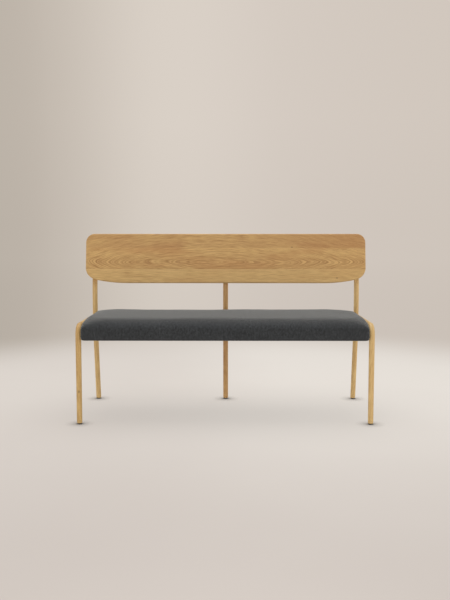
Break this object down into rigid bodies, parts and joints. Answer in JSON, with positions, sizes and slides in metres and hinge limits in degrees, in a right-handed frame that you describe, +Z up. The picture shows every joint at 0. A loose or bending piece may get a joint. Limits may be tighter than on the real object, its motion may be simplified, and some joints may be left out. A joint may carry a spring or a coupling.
{
  "type": "bench with back",
  "caption": "Slim round-legged wooden bench with an upholstered seat and a leaning, round-cornered backrest board carried by bent rear posts.",
  "frame": {"origin": "on the floor under the middle of the overall box", "axes": "+X along the bench, to the right as seen from the front, +Y from the front to the back, +Z up"},
  "size_m": [1.358, 0.577, 0.824],
  "materials": {
    "oak": "natural oiled oak, satin",
    "pine": "planed softwood, unfinished",
    "beech": "fluted hardwood dowel, unfinished",
    "plywood": "sanded birch plywood",
    "steel": "zinc-plated steel",
    "insert_brass": "turned brass",
    "spacer_plastic": "black nylon",
    "glide_plastic": "dark hard plastic",
    "foam": "open-cell foam",
    "cover_fabric": "charcoal woven upholstery cloth",
    "dust_fabric": "black non-woven sheet"
  },
  "bodies": {
    "root": {"front_leg_left": "oak", "front_leg_right": "oak", "side_rail_left": "oak", "side_rail_right": "oak", "rear_leg_left": "oak", "rear_leg_center": "oak", "rear_leg_right": "oak", "backrest_bottom_stave": "oak", "backrest_middle_stave": "oak", "backrest_top_stave": "oak", "seat_frame_end_rail_left": "pine", "seat_frame_end_rail_right": "pine", "seat_frame_front_rail": "pine", "seat_frame_rear_rail": "pine", "seat_frame_cross_bars": "pine", "seat_frame_dowels": "beech", "seat_corner_blocks": "pine", "seat_deck": "plywood", "backrest_bolts": "steel", "seat_bolts": "steel", "corner_block_screws": "steel", "seat_deck_screws": "steel", "seat_staples": "steel", "glide_nails": "steel", "backrest_inserts": "insert_brass", "seat_inserts": "insert_brass", "seat_spacers": "spacer_plastic", "foot_glides": "glide_plastic", "seat_foam": "foam", "seat_cover": "cover_fabric", "seat_dust_cover": "dust_fabric"}
  },
  "joints": []
}
